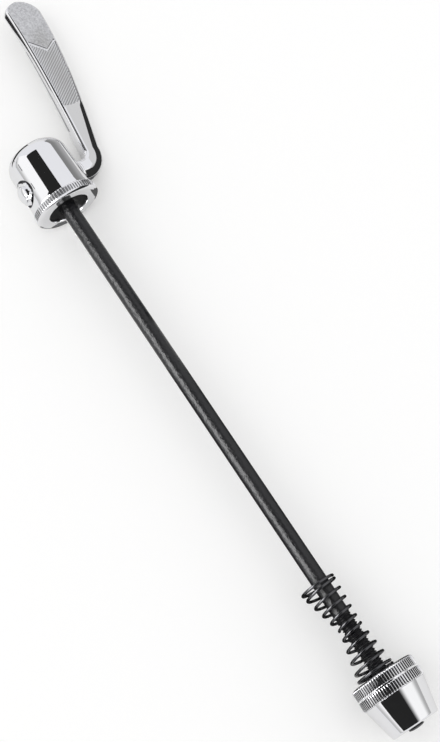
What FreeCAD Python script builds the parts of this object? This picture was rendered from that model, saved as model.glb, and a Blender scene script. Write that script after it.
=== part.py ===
"""Quick release skewer for a bicycle's rear wheel, lying at rest. Millimetres.

The rod's axis is X, from the cam housing at the origin to the adjusting nut, and +Z is up. The origin is on
the rod's axis in the housing's clamp face. The lever side is +Y, rolled down until the arm's elbow touches the
surface that the clamp ring lies on.
"""

import FreeCAD, Part
import math
import os

V = FreeCAD.Vector

# Rod
ROD_DIAMETER = 5.0
CLAMP_GAP = 165.0
TIP_STANDOUT = 0.8
TIP_CHAMFER = 0.6

# Cam
CAM_DIAMETER = 4.8
CAM_THROW = 1.0
CAM_AXIS_DEPTH = 9.6
JOURNAL_DIAMETER = 7.0
END_JOURNAL_DIAMETER = 4.8
COLLAR_DIAMETER = 8.2
COLLAR_WIDTH = 0.8
STUB_DIAMETER = 4.0
STUB_LENGTH = 2.2

# Rod eye
EYE_THICKNESS = 6.0
EYE_WALL = 1.5
EYE_EDGE_CHAMFER = 0.5

# Cam housing
HOUSING_LENGTH = 22.8
HOUSING_MOUTH_DIAMETER = 20.0
HOUSING_CROWN_DIAMETER = 19.5
CROWN_RISE = 0.9
CROWN_ROUND = 5.2
CAVITY_DIAMETER = 13.2
SPOT_FACE_DIAMETER = 8.6
SPOT_FACE_DEPTH = 1.3

# Clamp rings of the housing and the nut
CLAMP_RING_DIAMETER = 21.2
CLAMP_RING_WIDTH = 3.0
CLAMP_RING_LIP = 1.2
CLAMP_RING_CHAMFER = 0.4
SPIGOT_WALL = 1.6
NUT_RING_STEP = 0.1
NUT_RING_WIDTH = 3.3
NUT_MOUTH_DIAMETER = 14.6
NUT_MOUTH_DEPTH = 1.0

# Guide bush
BUSH_RECESS = 0.9
BUSH_LENGTH = 2.4

# Lever
ARM_DIAMETER = 6.2
ARM_CORNER = 2.7
ELBOW_RADIUS = 5.4
ELBOW_RUN = 2.6
LEVER_REACH = 59.0
BLADE_FLARE = 4.15
BLADE_RISE = 6.4
BLADE_WIDTH = 11.1
BLADE_THICKNESS = 3.7
BLADE_CORNER = 0.9
BLADE_SPANS = 4
TIP_INNER_ROUND = 1.8
TIP_OUTER_ROUND = 7.0
TIP_APEX_OFFSET = 1.6
TIP_CORNER_ROUND = 1.8
PANEL_START = 20.2
PANEL_END = 44.5
PANEL_MARGIN = 0.9
PANEL_DEPTH = 0.3
PANEL_POINT = 4.3

# Cap nut and washer
CAP_NUT_FLATS = 7.0
CAP_NUT_HEX_HEIGHT = 1.4
CAP_NUT_DOME_HEIGHT = 1.6
WASHER_DIAMETER = 8.4
WASHER_THICKNESS = 0.5

# Springs
WIRE_DIAMETER = 0.9
WIRE_SIDES = 6
STATIONS_PER_TURN = 12
CLOSED_TURNS = 1
CLOSED_PITCH = 0.96
NUT_SPRING_OPEN_TURNS = 4
NUT_SPRING_LENGTH = 14.0
NUT_SPRING_WIDE_DIAMETER = 11.7
NUT_SPRING_LEAN = 1.2
LEVER_SPRING_OPEN_TURNS = 4.5
LEVER_SPRING_LENGTH = 14.2
LEVER_SPRING_WIDE_DIAMETER = 11.2
LEVER_SPRING_LEAN = 1.1

# Adjusting nut
NUT_LENGTH = 17.0
NUT_GROOVE_WIDTH = 0.4
NUT_GROOVE_DEPTH = 1.0
GRIP_DIAMETER = 20.0
GRIP_WIDTH = 3.0
CONE_WIDE_DIAMETER = 19.2
CONE_NARROW_DIAMETER = 14.8
CONE_CHAMFER = 0.5
INSERT_DIAMETER = 8.4
INSERT_LENGTH = 3.6
INSERT_RECESS = 0.3

# Knurls, straight flutes along the rod
KNURL_FLUTES = 64
KNURL_DEPTH = 0.25

# Clearances
RUNNING_FIT = 0.05
SEAT_FIT = 0.02
FREE_GAP = 0.25
SPRING_GAP = 0.2

ROD_RADIUS = ROD_DIAMETER / 2
CAM_RADIUS = CAM_DIAMETER / 2
CLAMP_RING_RADIUS = CLAMP_RING_DIAMETER / 2
CAVITY_RADIUS = CAVITY_DIAMETER / 2
WIRE_RADIUS = WIRE_DIAMETER / 2
NUT_RING_DIAMETER = GRIP_DIAMETER - 2 * NUT_RING_STEP
CAM_X = -CAM_AXIS_DEPTH
SPOT_FACE_OFFSET = HOUSING_MOUTH_DIAMETER / 2 - SPOT_FACE_DEPTH
EYE_SLOT_HALF_LENGTH = CAM_RADIUS + FREE_GAP
EYE_SLOT_HALF_HEIGHT = CAM_RADIUS + CAM_THROW + FREE_GAP
EYE_HALF_LENGTH = EYE_SLOT_HALF_LENGTH + EYE_WALL
EYE_HALF_HEIGHT = EYE_SLOT_HALF_HEIGHT + EYE_WALL
SHOULDER_Y = SPOT_FACE_OFFSET + RUNNING_FIT + WASHER_THICKNESS + SEAT_FIT
ARM_Y = SHOULDER_Y + ELBOW_RUN + ELBOW_RADIUS
LIE_ROLL = math.degrees(math.asin((CLAMP_RING_RADIUS - ARM_DIAMETER / 2) / ARM_Y))
NUT_END_X = CLAMP_GAP + NUT_LENGTH
ROD_TIP_X = NUT_END_X + TIP_STANDOUT


def turned(points):
    """A solid turned about X from a closed outline of (x, radius) corners."""
    corners = [V(x, 0, r) for x, r in points]
    face = Part.Face(Part.makePolygon(corners + corners[:1]))
    return face.revolve(V(0, 0, 0), V(1, 0, 0), 360)


def tube(x_start, x_end, inner, outer):
    """A ring about X between two radii."""
    return turned([(x_start, inner), (x_end, inner), (x_end, outer), (x_start, outer)])


def bar(x_start, x_end, radius):
    """A round bar along X."""
    return Part.makeCylinder(radius, x_end - x_start, V(x_start, 0, 0), V(1, 0, 0))


def cross_bar(y_start, y_end, radius, rise=0.0):
    """A round bar along the camshaft, raised off its axis by rise."""
    return Part.makeCylinder(radius, y_end - y_start, V(CAM_X, y_start, rise), V(0, 1, 0))


def edges_at_x(shape, x):
    """The edges that lie wholly in the plane at x."""
    found = []
    for edge in shape.Edges:
        box = edge.BoundBox
        if abs(box.XMin - x) < SEAT_FIT and abs(box.XMax - x) < SEAT_FIT:
            found.append(edge)
    return found


def outer_edges_at_x(shape, x):
    """The edges in the plane at x that have the largest radius."""
    edges = edges_at_x(shape, x)
    widest = max(edge.BoundBox.YLength for edge in edges)
    return [edge for edge in edges if edge.BoundBox.YLength > widest - SEAT_FIT]


def lie(shape):
    """The shape rolled about the rod from the upright camshaft frame to where it comes to rest."""
    return shape.rotated(V(0, 0, 0), V(1, 0, 0), -LIE_ROLL)


def cam_housing():
    """Closed cup with its camshaft bores, spot faces and the spigot that carries the clamp ring."""
    spigot = CAVITY_RADIUS + SPIGOT_WALL
    crown_x = -HOUSING_LENGTH + CROWN_RISE
    crown_radius = HOUSING_CROWN_DIAMETER / 2
    mouth_radius = HOUSING_MOUTH_DIAMETER / 2
    seat_x = -CLAMP_RING_WIDTH - SEAT_FIT
    lip_x = -CLAMP_RING_LIP - SEAT_FIT
    corners = [V(crown_x, 0, crown_radius), V(seat_x, 0, mouth_radius), V(seat_x, 0, spigot),
               V(lip_x, 0, spigot), V(lip_x, 0, 0), V(-HOUSING_LENGTH, 0, 0)]
    half = crown_radius / 2
    sphere_radius = (crown_radius ** 2 + CROWN_RISE ** 2) / (2 * CROWN_RISE)
    middle = -HOUSING_LENGTH + sphere_radius - math.sqrt(sphere_radius ** 2 - half ** 2)
    crown = Part.Arc(corners[-1], V(middle, 0, half), corners[0]).toShape()
    outline = Part.Wire([crown] + Part.makePolygon(corners).Edges)
    body = Part.Face(outline).revolve(V(0, 0, 0), V(1, 0, 0), 360)
    body = body.makeFillet(CROWN_ROUND, outer_edges_at_x(body, crown_x))
    travel = CAM_THROW + FREE_GAP
    cavity_x = CAM_X - EYE_HALF_LENGTH - travel - FREE_GAP
    body = body.cut(bar(cavity_x, 0, CAVITY_RADIUS))
    journal_bore = cross_bar(0, HOUSING_LENGTH, JOURNAL_DIAMETER / 2 + RUNNING_FIT)
    end_bore = cross_bar(-HOUSING_LENGTH, 0, END_JOURNAL_DIAMETER / 2 + RUNNING_FIT)
    lever_face = cross_bar(SPOT_FACE_OFFSET, HOUSING_LENGTH, SPOT_FACE_DIAMETER / 2)
    nut_face = cross_bar(-HOUSING_LENGTH, -SPOT_FACE_OFFSET, SPOT_FACE_DIAMETER / 2)
    body = body.cut([journal_bore, end_bore, lever_face, nut_face])
    return lie(body)


def housing_clamp_ring():
    """Ring pressed on the housing's spigot, with a lip that leaves the mouth open."""
    seat = CAVITY_RADIUS + SPIGOT_WALL + SEAT_FIT
    crest = CLAMP_RING_RADIUS
    root = crest - KNURL_DEPTH
    band_end = -CLAMP_RING_CHAMFER
    ring = turned([(-CLAMP_RING_WIDTH, seat), (-CLAMP_RING_LIP, seat), (-CLAMP_RING_LIP, CAVITY_RADIUS),
                   (0, CAVITY_RADIUS), (0, root - CLAMP_RING_CHAMFER), (band_end, root), (band_end, crest),
                   (-CLAMP_RING_WIDTH, crest)])
    return knurled(ring, -CLAMP_RING_WIDTH, band_end, CLAMP_RING_DIAMETER)


def rod_guide_bush():
    """Bush set back in the housing's mouth."""
    front = -BUSH_RECESS
    return tube(front - BUSH_LENGTH, front, ROD_RADIUS + RUNNING_FIT, CAVITY_RADIUS - SEAT_FIT)


def skewer_rod():
    """Rod with the forged eye that the cam lobe works in."""
    shank = bar(CAM_X + EYE_SLOT_HALF_LENGTH + EYE_WALL / 2, ROD_TIP_X, ROD_RADIUS)
    shank = shank.makeChamfer(TIP_CHAMFER, edges_at_x(shank, ROD_TIP_X))
    eye = Part.makeBox(2 * EYE_HALF_LENGTH, EYE_THICKNESS, 2 * EYE_HALF_HEIGHT,
                       V(CAM_X - EYE_HALF_LENGTH, -EYE_THICKNESS / 2, -EYE_HALF_HEIGHT))
    upright = [edge for edge in eye.Edges if edge.BoundBox.YLength > EYE_THICKNESS / 2]
    eye = eye.makeFillet(EYE_HALF_LENGTH - FREE_GAP, upright)
    eye = eye.makeChamfer(EYE_EDGE_CHAMFER, [edge for edge in eye.Edges if edge.BoundBox.YLength < FREE_GAP])
    slot_bars = [cross_bar(-EYE_THICKNESS, EYE_THICKNESS, EYE_SLOT_HALF_LENGTH, rise)
                 for rise in (-CAM_THROW, CAM_THROW)]
    waist = Part.makeBox(2 * EYE_SLOT_HALF_LENGTH, 2 * EYE_THICKNESS, 2 * CAM_THROW,
                         V(CAM_X - EYE_SLOT_HALF_LENGTH, -EYE_THICKNESS, -CAM_THROW))
    eye = eye.cut(slot_bars + [waist])
    return lie(eye.fuse(shank).removeSplitter())


def knurled(shape, x_start, x_end, diameter):
    """The shape with straight flutes round a band of the given diameter."""
    crest = diameter / 2
    points = []
    for flute in range(KNURL_FLUTES):
        for half_step, radius in ((0, crest), (1, crest - KNURL_DEPTH)):
            angle = math.pi * (2 * flute + half_step) / KNURL_FLUTES
            points.append(V(x_start, radius * math.cos(angle), radius * math.sin(angle)))
    toothed = Part.Face(Part.makePolygon(points + points[:1])).extrude(V(x_end - x_start, 0, 0))
    waste = tube(x_start, x_end, crest - 2 * KNURL_DEPTH, crest + KNURL_DEPTH).cut(toothed)
    return shape.cut(waste)


def conical_spring(wide_x, narrow_x, wide_diameter, open_turns, lean):
    """Round wire wound along X, from a closed wide end that leans aside to a narrow end round the rod."""
    wide = wide_diameter / 2 - WIRE_RADIUS
    narrow = ROD_RADIUS + SPRING_GAP + WIRE_RADIUS
    heading = 1 if narrow_x > wide_x else -1
    closed_length = CLOSED_TURNS * CLOSED_PITCH
    open_length = abs(narrow_x - wide_x) - closed_length
    sections = []
    for station in range(round((CLOSED_TURNS + open_turns) * STATIONS_PER_TURN) + 1):
        turn = station / STATIONS_PER_TURN
        share = max(turn - CLOSED_TURNS, 0) / open_turns
        along = min(turn, CLOSED_TURNS) * CLOSED_PITCH + share * open_length
        outward = V(0, math.cos(2 * math.pi * turn), heading * math.sin(2 * math.pi * turn))
        axis = V(wide_x + heading * along, lean * (share - 1), 0)
        centre = axis + outward * (wide + (narrow - wide) * share)
        corners = [centre + outward * (WIRE_RADIUS * math.cos(2 * math.pi * side / WIRE_SIDES))
                   + V(WIRE_RADIUS * math.sin(2 * math.pi * side / WIRE_SIDES), 0, 0)
                   for side in range(WIRE_SIDES)]
        sections.append(Part.makePolygon(corners + corners[:1]))
    return Part.makeLoft(sections, True, True)


def section_wire(centre, across, width, height, corner):
    """A rounded rectangle about centre, with its width along across and its height along Z."""
    half_w, half_h = width / 2, height / 2
    flat_w, flat_h = half_w - corner, half_h - corner
    bow = corner * (1 - math.sqrt(0.5))

    def at(w, h):
        return centre + across * w + V(0, 0, h)

    edges = []
    for w, h in ((1, 1), (-1, -1)):
        edges.append(Part.makeLine(at(w * half_w, -h * flat_h), at(w * half_w, h * flat_h)))
        edges.append(Part.Arc(at(w * half_w, h * flat_h), at(w * (half_w - bow), h * (half_h - bow)),
                              at(w * flat_w, h * half_h)).toShape())
        edges.append(Part.makeLine(at(w * flat_w, h * half_h), at(-w * flat_w, h * half_h)))
        edges.append(Part.Arc(at(-w * flat_w, h * half_h), at(-w * (half_w - bow), h * (half_h - bow)),
                              at(-w * half_w, h * flat_h)).toShape())
    return Part.Wire(edges)


def blade_share(reach):
    """How far along the blade a distance from the camshaft is, from 0 at the elbow to 1 at the tip."""
    return (reach - ELBOW_RADIUS) / (LEVER_REACH - ELBOW_RADIUS)


def blade_centre(share):
    """Middle of the blade's section, which flares out and rises towards the tip."""
    ease = math.sin(share * math.pi / 2)
    reach = ELBOW_RADIUS + share * (LEVER_REACH - ELBOW_RADIUS)
    return V(CAM_X - reach, ARM_Y + BLADE_FLARE * ease, BLADE_RISE * ease)


def blade_width(share):
    """Width of the blade's face, from the round arm to the tip."""
    return ARM_DIAMETER + (BLADE_WIDTH - ARM_DIAMETER) * math.sin(share * math.pi / 2)


def blade_section(share):
    """The blade's outline across its length."""
    ease = math.sin(share * math.pi / 2)
    thickness = ARM_DIAMETER + (BLADE_THICKNESS - ARM_DIAMETER) * ease
    corner = ARM_CORNER + (BLADE_CORNER - ARM_CORNER) * ease
    return section_wire(blade_centre(share), V(0, 1, 0), blade_width(share), thickness, corner)


def lever_tip_envelope():
    """Everything in plan that a lever with a rounded tip may fill. The outer corner is the rounder one."""
    tip = blade_centre(1)
    half = blade_width(1) / 2
    depth = -LEVER_REACH
    apex = V(tip.x, tip.y - TIP_APEX_OFFSET, depth)
    inner = V(tip.x + TIP_INNER_ROUND, tip.y - half, depth)
    outer = V(tip.x + TIP_OUTER_ROUND, tip.y + half, depth)
    nose = Part.Arc(outer, apex, inner).toShape().Curve
    corner_y = inner.y + TIP_CORNER_ROUND
    run = nose.Radius - TIP_CORNER_ROUND
    corner = V(nose.Center.x - math.sqrt(run ** 2 - (corner_y - nose.Center.y) ** 2), corner_y, depth)
    meet = nose.Center + (corner - nose.Center) * (nose.Radius / run)
    side = V(corner.x, inner.y, depth)
    spoke = meet + side - corner * 2
    middle = corner + spoke * (TIP_CORNER_ROUND / spoke.Length)
    corners = [side, V(side.x, -LEVER_REACH, depth), V(LEVER_REACH, -LEVER_REACH, depth),
               V(LEVER_REACH, LEVER_REACH, depth), V(outer.x, LEVER_REACH, depth), outer]
    arcs = [Part.Arc(outer, apex, meet).toShape(), Part.Arc(meet, middle, side).toShape()]
    outline = Part.Wire(arcs + Part.makePolygon(corners).Edges)
    return Part.Face(outline).extrude(V(0, 0, 2 * LEVER_REACH))


def grip_panel(blade):
    """What is sunk out of the blade's face for the ribbed panel, with a pointed step towards the tip."""
    start, end, point = (blade_share(reach) for reach in (PANEL_START, PANEL_END, PANEL_END - PANEL_POINT))

    def edge_point(share, side):
        centre = blade_centre(share)
        return V(centre.x, centre.y + side * (blade_width(share) / 2 - PANEL_MARGIN), 0)

    apex = blade_centre(point)
    middle = (start + end) / 2
    corners = [edge_point(start, -1), edge_point(middle, -1), edge_point(end, -1), V(apex.x, apex.y, 0),
               edge_point(end, 1), edge_point(middle, 1), edge_point(start, 1)]
    prism = Part.Face(Part.makePolygon(corners + corners[:1])).extrude(V(0, 0, LEVER_REACH))
    return prism.cut(blade.translated(V(0, 0, -PANEL_DEPTH)))


def lever():
    """Forged lever with its camshaft, cam lobe and threaded stub."""
    root = section_wire(V(CAM_X, SHOULDER_Y, 0), V(1, 0, 0), ARM_DIAMETER, ARM_DIAMETER, ARM_CORNER)
    run = Part.Face(root).extrude(V(0, ELBOW_RUN, 0))
    turn_start = Part.Face(root.translated(V(0, ELBOW_RUN, 0)))
    elbow = turn_start.revolve(V(CAM_X - ELBOW_RADIUS, SHOULDER_Y + ELBOW_RUN, 0), V(0, 0, 1), 90)
    blade = Part.makeLoft([blade_section(span / BLADE_SPANS) for span in range(BLADE_SPANS + 1)], True, False)
    blade = blade.cut(grip_panel(blade)).common(lever_tip_envelope())
    half_eye = EYE_THICKNESS / 2 + FREE_GAP
    stub_start = -SPOT_FACE_OFFSET - RUNNING_FIT
    journal = cross_bar(half_eye, SHOULDER_Y, JOURNAL_DIAMETER / 2)
    collar = cross_bar(SHOULDER_Y, SHOULDER_Y + COLLAR_WIDTH, COLLAR_DIAMETER / 2)
    lobe = cross_bar(-half_eye, half_eye, CAM_RADIUS, CAM_THROW)
    end_journal = cross_bar(stub_start, -half_eye, END_JOURNAL_DIAMETER / 2)
    stub = cross_bar(stub_start - STUB_LENGTH, stub_start, STUB_DIAMETER / 2)
    return lie(blade.fuse([elbow, run, collar, journal, lobe, end_journal, stub]).removeSplitter())


def lever_washer():
    """Washer between the lever's collar and the housing's spot face."""
    start = SPOT_FACE_OFFSET + RUNNING_FIT
    end = start + WASHER_THICKNESS
    disc = cross_bar(start, end, WASHER_DIAMETER / 2)
    return lie(disc.cut(cross_bar(start, end, JOURNAL_DIAMETER / 2 + RUNNING_FIT)))


def cap_nut():
    """Low domed nut on the camshaft's stub."""
    seat = -SPOT_FACE_OFFSET - RUNNING_FIT
    corner = CAP_NUT_FLATS / math.sqrt(3)
    points = [V(CAM_X + corner * math.cos(math.radians(60 * k)), seat, corner * math.sin(math.radians(60 * k)))
              for k in range(7)]
    hexagon = Part.Face(Part.makePolygon(points)).extrude(V(0, -CAP_NUT_HEX_HEIGHT, 0))
    base = CAP_NUT_FLATS / 2
    dome_y = seat - CAP_NUT_HEX_HEIGHT
    sphere_radius = (base ** 2 + CAP_NUT_DOME_HEIGHT ** 2) / (2 * CAP_NUT_DOME_HEIGHT)
    ball = Part.makeSphere(sphere_radius, V(CAM_X, dome_y - CAP_NUT_DOME_HEIGHT + sphere_radius, 0))
    dome = ball.common(cross_bar(dome_y - CAP_NUT_DOME_HEIGHT, dome_y, base))
    nut = hexagon.fuse(dome).removeSplitter()
    return lie(nut.cut(cross_bar(seat - STUB_LENGTH - FREE_GAP, seat, STUB_DIAMETER / 2 + SEAT_FIT)))


def adjusting_nut():
    """Tapered nut with a grip band, the clamp ring's spigot and the insert's pocket."""
    face = CLAMP_GAP
    ring_end = face + NUT_RING_WIDTH + SEAT_FIT
    grip_start = ring_end + NUT_GROOVE_WIDTH
    grip_end = grip_start + GRIP_WIDTH
    spigot = NUT_MOUTH_DIAMETER / 2 + SPIGOT_WALL
    bore = ROD_RADIUS + RUNNING_FIT
    seat = face + NUT_MOUTH_DEPTH + SEAT_FIT
    groove = GRIP_DIAMETER / 2 - NUT_GROOVE_DEPTH
    pocket = NUT_END_X - INSERT_RECESS - INSERT_LENGTH
    pocket_radius = INSERT_DIAMETER / 2 + SEAT_FIT
    body = turned([(seat, bore), (seat, spigot), (ring_end, spigot), (ring_end, groove), (grip_start, groove),
                   (grip_start, GRIP_DIAMETER / 2), (grip_end, GRIP_DIAMETER / 2),
                   (grip_end, CONE_WIDE_DIAMETER / 2), (NUT_END_X, CONE_NARROW_DIAMETER / 2),
                   (NUT_END_X, pocket_radius), (pocket, pocket_radius), (pocket, bore)])
    body = body.makeChamfer(CONE_CHAMFER, outer_edges_at_x(body, NUT_END_X))
    return knurled(body, grip_start, grip_end, GRIP_DIAMETER)


def nut_clamp_ring():
    """Ring pressed on the nut's spigot, with a shallow mouth round the rod."""
    start = CLAMP_GAP
    end = start + NUT_RING_WIDTH
    mouth = NUT_MOUTH_DIAMETER / 2
    seat = mouth + SPIGOT_WALL + SEAT_FIT
    crest = NUT_RING_DIAMETER / 2
    root = crest - KNURL_DEPTH
    lip = start + NUT_MOUTH_DEPTH
    band_start = start + CLAMP_RING_CHAMFER
    ring = turned([(start, mouth), (lip, mouth), (lip, seat), (end, seat), (end, crest), (band_start, crest),
                   (band_start, root), (start, root - CLAMP_RING_CHAMFER)])
    return knurled(ring, band_start, end, NUT_RING_DIAMETER)


def nut_lock_insert():
    """Nylon ring in the nut's small end."""
    end = NUT_END_X - INSERT_RECESS
    return tube(end - INSERT_LENGTH + SEAT_FIT, end, ROD_RADIUS + RUNNING_FIT, INSERT_DIAMETER / 2)


nut_spring_wide_x = CLAMP_GAP - SPRING_GAP - WIRE_RADIUS
nut_spring_narrow_x = nut_spring_wide_x - NUT_SPRING_LENGTH
lever_spring_narrow_x = nut_spring_narrow_x - WIRE_DIAMETER - SPRING_GAP
lever_spring_wide_x = lever_spring_narrow_x - LEVER_SPRING_LENGTH

pieces = {
    "lever": lever(),
    "lever_washer": lever_washer(),
    "cap_nut": cap_nut(),
    "cam_housing": cam_housing(),
    "housing_clamp_ring": housing_clamp_ring(),
    "rod_guide_bush": rod_guide_bush(),
    "skewer_rod": skewer_rod(),
    "lever_side_spring": conical_spring(lever_spring_wide_x, lever_spring_narrow_x, LEVER_SPRING_WIDE_DIAMETER,
                                        LEVER_SPRING_OPEN_TURNS, LEVER_SPRING_LEAN),
    "nut_side_spring": conical_spring(nut_spring_wide_x, nut_spring_narrow_x, NUT_SPRING_WIDE_DIAMETER,
                                      NUT_SPRING_OPEN_TURNS, NUT_SPRING_LEAN),
    "adjusting_nut": adjusting_nut(),
    "nut_clamp_ring": nut_clamp_ring(),
    "nut_lock_insert": nut_lock_insert(),
}

os.makedirs("parts", exist_ok=True)
for name, shape in pieces.items():
    shape.exportStep("parts/" + name + ".step")
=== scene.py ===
"""Looks of the quick release skewer: fine pieces, finishes, studio and camera. Sizes are in millimetres."""

import math

import bmesh
import bpy
from mathutils import Matrix, Vector

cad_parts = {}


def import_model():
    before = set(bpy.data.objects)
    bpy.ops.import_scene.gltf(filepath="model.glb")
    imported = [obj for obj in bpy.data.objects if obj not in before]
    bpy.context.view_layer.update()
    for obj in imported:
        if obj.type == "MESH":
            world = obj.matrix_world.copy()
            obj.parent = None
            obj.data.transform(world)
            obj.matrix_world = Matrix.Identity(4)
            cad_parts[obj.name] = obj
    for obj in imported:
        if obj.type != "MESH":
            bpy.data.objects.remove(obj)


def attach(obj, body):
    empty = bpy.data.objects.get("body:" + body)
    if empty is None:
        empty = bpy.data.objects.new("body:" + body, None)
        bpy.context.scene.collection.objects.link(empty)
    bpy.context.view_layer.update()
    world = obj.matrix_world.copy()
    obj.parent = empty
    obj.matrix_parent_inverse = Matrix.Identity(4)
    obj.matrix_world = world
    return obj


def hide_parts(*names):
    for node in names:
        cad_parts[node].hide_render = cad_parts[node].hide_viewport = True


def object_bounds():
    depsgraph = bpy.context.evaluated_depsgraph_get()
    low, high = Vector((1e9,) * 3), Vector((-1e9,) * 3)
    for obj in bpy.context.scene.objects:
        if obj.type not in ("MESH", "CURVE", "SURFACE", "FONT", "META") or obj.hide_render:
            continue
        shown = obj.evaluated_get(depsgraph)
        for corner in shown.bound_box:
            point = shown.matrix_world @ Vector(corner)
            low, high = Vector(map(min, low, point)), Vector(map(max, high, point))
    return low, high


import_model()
cad_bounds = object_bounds()

MM = 0.001
TURN = 2 * math.pi

# The sizes from here to the lie on the floor are those of the built part

# Fits, and the gap that the skewer clamps
RUNNING_FIT = 0.05
SEAT_FIT = 0.02
FREE_GAP = 0.25
SPRING_GAP = 0.2
CLAMP_GAP = 165.0

# Cam, camshaft and the rod's eye
CAM_X = -9.6
CAM_THROW = 1.0
CAM_RADIUS = 2.4
JOURNAL_RADIUS = 3.5
END_JOURNAL_RADIUS = 2.4
COLLAR_RADIUS = 4.1
COLLAR_WIDTH = 0.8
STUB_RADIUS = 2.0
STUB_LENGTH = 2.2
EYE_HALF_THICKNESS = 3.0
EYE_WALL = 1.5
EYE_SLOT_HALF = CAM_RADIUS + FREE_GAP
LOBE_HALF_WIDTH = EYE_HALF_THICKNESS + FREE_GAP

# Housing, its clamp ring and bush
HOUSING_LENGTH = 22.8
HOUSING_MOUTH_RADIUS = 10.0
CROWN_RADIUS = 9.75
CROWN_RISE = 0.9
CROWN_ROUND = 5.2
CAVITY_RADIUS = 6.6
CAVITY_END_X = CAM_X - EYE_SLOT_HALF - EYE_WALL - CAM_THROW - 2 * FREE_GAP
SPIGOT_WALL = 1.6
SPIGOT_RADIUS = CAVITY_RADIUS + SPIGOT_WALL
SPOT_FACE_RADIUS = 4.3
SPOT_FACE_DEPTH = 1.3
SPOT_FACE_Y = HOUSING_MOUTH_RADIUS - SPOT_FACE_DEPTH
RING_RADIUS = 10.6
RING_WIDTH = 3.0
RING_LIP = 1.2
BUSH_RECESS = 0.9
BUSH_LENGTH = 2.4

# Nut, its clamp ring and nylon insert
NUT_LENGTH = 17.0
NUT_END_X = CLAMP_GAP + NUT_LENGTH
NUT_MOUTH_RADIUS = 7.3
NUT_MOUTH_DEPTH = 1.0
NUT_SPIGOT_RADIUS = NUT_MOUTH_RADIUS + SPIGOT_WALL
GRIP_RADIUS = 10.0
GRIP_WIDTH = 3.0
NUT_RING_STEP = 0.1
NUT_RING_RADIUS = GRIP_RADIUS - NUT_RING_STEP
NUT_RING_WIDTH = 3.3
NUT_RING_END_X = CLAMP_GAP + NUT_RING_WIDTH + SEAT_FIT
NUT_GROOVE_DEPTH = 1.0
NUT_GROOVE_WIDTH = 0.4
GROOVE_RADIUS = GRIP_RADIUS - NUT_GROOVE_DEPTH
GRIP_START_X = NUT_RING_END_X + NUT_GROOVE_WIDTH
GRIP_END_X = GRIP_START_X + GRIP_WIDTH
CONE_WIDE_RADIUS = 9.6
CONE_NARROW_RADIUS = 7.4
INSERT_RADIUS = 4.2
INSERT_LENGTH = 3.6
INSERT_RECESS = 0.3

# Rod
ROD_RADIUS = 2.5
TIP_STANDOUT = 0.8
TIP_CHAMFER = 0.6
ROD_TIP_X = NUT_END_X + TIP_STANDOUT

# Springs
WIRE_RADIUS = 0.45
CLOSED_PITCH = 0.96
SPRING_NARROW_RADIUS = ROD_RADIUS + SPRING_GAP + WIRE_RADIUS
NUT_SPRING_LENGTH = 14.0
NUT_SPRING_RADIUS = 5.85
NUT_SPRING_OPEN_TURNS = 4
NUT_SPRING_LEAN = 1.2
NUT_SPRING_WIDE_X = CLAMP_GAP - SPRING_GAP - WIRE_RADIUS
NUT_SPRING_NARROW_X = NUT_SPRING_WIDE_X - NUT_SPRING_LENGTH
LEVER_SPRING_LENGTH = 14.2
LEVER_SPRING_RADIUS = 5.6
LEVER_SPRING_OPEN_TURNS = 4.5
LEVER_SPRING_LEAN = 1.1
LEVER_SPRING_NARROW_X = NUT_SPRING_NARROW_X - SPRING_GAP - 2 * WIRE_RADIUS
LEVER_SPRING_WIDE_X = LEVER_SPRING_NARROW_X - LEVER_SPRING_LENGTH

# Lever with its washer and cap nut
WASHER_RADIUS = 4.2
WASHER_THICKNESS = 0.5
CAP_NUT_FLATS = 7.0
CAP_NUT_HEX_HEIGHT = 1.4
CAP_NUT_DOME_HEIGHT = 1.6
SHOULDER_Y = SPOT_FACE_Y + RUNNING_FIT + WASHER_THICKNESS + SEAT_FIT
ELBOW_RUN = 2.6
ELBOW_RADIUS = 5.4
ARM_Y = SHOULDER_Y + ELBOW_RUN + ELBOW_RADIUS
ARM_WIDTH = 6.2
ARM_CORNER = 2.7
LEVER_REACH = 59.0
BLADE_FLARE = 4.15
BLADE_RISE = 6.4
BLADE_WIDTH = 11.1
BLADE_THICKNESS = 3.7
BLADE_CORNER = 0.9
TIP_INNER_ROUND = 1.8
TIP_OUTER_ROUND = 7.0
TIP_APEX_OFFSET = 1.6
TIP_CORNER_ROUND = 1.8

# The lie on the floor
LIE_ROLL = math.asin((RING_RADIUS - ARM_WIDTH / 2) / ARM_Y)

# How finely round things are drawn. A turned end closes with one flat face of the centre's radius
ROUND_POINTS = 256
SMALL_POINTS = 96
ROD_POINTS = 64
CUTTER_POINTS = 128
CENTRE_RADIUS = 0.3
CAVITY_CENTRE_RADIUS = 0.4
SIDE_SHARE = 0.48
MERGE_DISTANCE = 1e-5
BORED_SHARP_ANGLE = 25.0

# Cutters end well outside the housing, in different planes
FACE_CUTTER_END = 30.0
BORE_CUTTER_END = 29.0

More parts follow.
